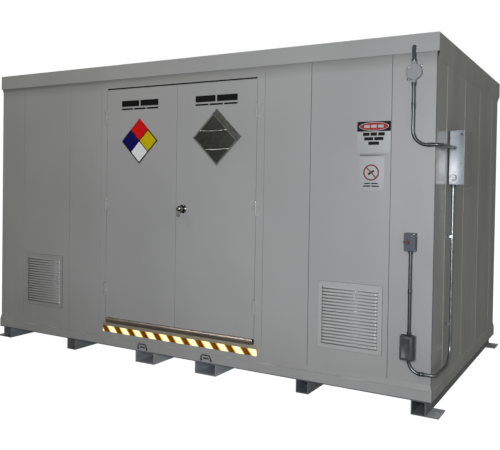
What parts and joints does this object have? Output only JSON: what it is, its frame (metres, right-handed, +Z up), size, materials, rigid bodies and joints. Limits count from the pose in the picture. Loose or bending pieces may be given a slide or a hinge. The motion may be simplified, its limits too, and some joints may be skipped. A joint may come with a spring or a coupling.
{
  "type": "hazardous material storage building",
  "caption": "Walk-in steel storage building on skids with a spill sump under a grated floor, double doors, wall louvres and surface-mounted electrical fittings.",
  "frame": {"origin": "centre of the whole object's plan box, on the ground", "axes": "+X to the right seen from the doors, +Y from the doors to the rear wall, +Z up"},
  "size_m": [4.4344, 2.5538, 2.5906],
  "materials": {
    "wall_paint": "light grey semi-gloss enamel",
    "skid_paint": "dark grey enamel, dull",
    "galvanised_steel": "galvanised, dull",
    "dull_chrome": "satin chrome plate",
    "aluminium": "mill finish",
    "dark_casting": "dark blue-grey enamel on a casting",
    "red_paint": "red enamel",
    "sign_vinyl": "printed and retro-reflective vinyl",
    "black_polymer": "dull black jacket and gasket",
    "lamp_glass": "clear ribbed glass"
  },
  "bodies": {
    "building": {"base_frame": "wall_paint", "sump_plate": "wall_paint", "front_wall_left": "wall_paint", "front_wall_right": "wall_paint", "front_wall_sill": "wall_paint", "rear_wall": "wall_paint", "left_wall": "wall_paint", "right_wall": "wall_paint", "roof_cap": "wall_paint", "door_frame": "wall_paint", "louvre_left": "wall_paint", "louvre_right": "wall_paint", "junction_box": "wall_paint", "breaker_box": "wall_paint", "skid_left": "skid_paint", "skid_inner_left": "skid_paint", "fork_pocket_left": "skid_paint", "fork_pocket_right": "skid_paint", "skid_inner_right": "skid_paint", "skid_right": "skid_paint", "grating_bearer_front": "galvanised_steel", "grating_bearer_middle": "galvanised_steel", "grating_bearer_rear": "galvanised_steel", "conduit_upper": "galvanised_steel", "corner_elbow_upper": "galvanised_steel", "conduit_side": "galvanised_steel", "conduit_lower": "galvanised_steel", "conduit_middle": "galvanised_steel", "hinge_pin_left_lower": "dull_chrome", "hinge_pin_left_middle": "dull_chrome", "hinge_pin_left_upper": "dull_chrome", "hinge_pin_right_lower": "dull_chrome", "hinge_pin_right_middle": "dull_chrome", "hinge_pin_right_upper": "dull_chrome", "threshold": "aluminium", "switch_box": "dark_casting", "outlet_box": "dark_casting", "hazard_tape": "sign_vinyl", "roof_conduit": "black_polymer", "ceiling_light": "lamp_glass"},
    "left_door": {"door_leaf_left": "wall_paint", "hazard_diamond": "sign_vinyl"},
    "right_door": {"door_leaf_right": "wall_paint", "placard_holder": "aluminium", "knob_rose_outer": "dull_chrome", "knob_rose_inner": "dull_chrome"},
    "knobs": {"knob_outer": "dull_chrome", "knob_inner": "dull_chrome"},
    "key": {"door_key": "dull_chrome", "lock_plug": "dull_chrome"},
    "latch": {"latch_bolt": "dull_chrome"},
    "top_bolt": {"flush_bolt_top": "dull_chrome"},
    "bottom_bolt": {"flush_bolt_bottom": "dull_chrome"},
    "breaker_lid": {"breaker_cover": "wall_paint"},
    "outlet_lid": {"outlet_cover": "dark_casting"},
    "lever": {"switch_lever": "red_paint"},
    "grating_1": {"floor_grating_1": "galvanised_steel"},
    "grating_2": {"floor_grating_2": "galvanised_steel"},
    "grating_3": {"floor_grating_3": "galvanised_steel"},
    "grating_4": {"floor_grating_4": "galvanised_steel"}
  },
  "joints": [
    {"name": "left_door_swing", "type": "hinge", "parent": "building", "child": "left_door", "pos_m": [-0.7927, -1.1861, 0.352], "axis": [0, 0, -1], "range_deg": [0, 150]},
    {"name": "right_door_swing", "type": "hinge", "parent": "building", "child": "right_door", "pos_m": [0.7353, -1.1861, 0.352], "axis": [0, 0, 1], "range_deg": [0, 150]},
    {"name": "knob_turn", "type": "hinge", "parent": "right_door", "child": "knobs", "pos_m": [0.0428, -1.15585, 1.3466], "axis": [0, 1, 0], "range_deg": [0, 60]},
    {"name": "latch_slide", "type": "slide", "parent": "right_door", "child": "latch", "axis": [-1, 0, 0], "range_m": [0, 0.0127]},
    {"name": "key_turn", "type": "hinge", "parent": "knobs", "child": "key", "pos_m": [0.0428, -1.15585, 1.3466], "axis": [0, 1, 0], "range_deg": [0, 90]},
    {"name": "top_bolt_slide", "type": "slide", "parent": "left_door", "child": "top_bolt", "axis": [0, 0, 1], "range_m": [0, 0.019]},
    {"name": "bottom_bolt_slide", "type": "slide", "parent": "left_door", "child": "bottom_bolt", "axis": [0, 0, -1], "range_m": [0, 0.019]},
    {"name": "breaker_lid_swing", "type": "hinge", "parent": "building", "child": "breaker_lid", "pos_m": [2.2092, -0.6671, 1.9646], "axis": [0, -1, 0], "range_deg": [0, 110]},
    {"name": "outlet_lid_swing", "type": "hinge", "parent": "building", "child": "outlet_lid", "pos_m": [1.9548, -1.2269, 0.5511], "axis": [-1, 0, 0], "range_deg": [0, 95]},
    {"name": "switch_throw", "type": "hinge", "parent": "building", "child": "lever", "pos_m": [1.9428, -1.2279, 1.1816], "axis": [0, 1, 0], "range_deg": [-30, 30]},
    {"name": "grating_1_lift", "type": "slide", "parent": "building", "child": "grating_1", "axis": [0, 0, 1], "range_m": [0, 0.6]},
    {"name": "grating_2_lift", "type": "slide", "parent": "building", "child": "grating_2", "axis": [0, 0, 1], "range_m": [0, 0.6]},
    {"name": "grating_3_lift", "type": "slide", "parent": "building", "child": "grating_3", "axis": [0, 0, 1], "range_m": [0, 0.6]},
    {"name": "grating_4_lift", "type": "slide", "parent": "building", "child": "grating_4", "axis": [0, 0, 1], "range_m": [0, 0.6]}
  ],
  "couplings": [
    {"joint": "latch_slide", "follows": "knob_turn", "m_per_rad": 0.012127}
  ]
}
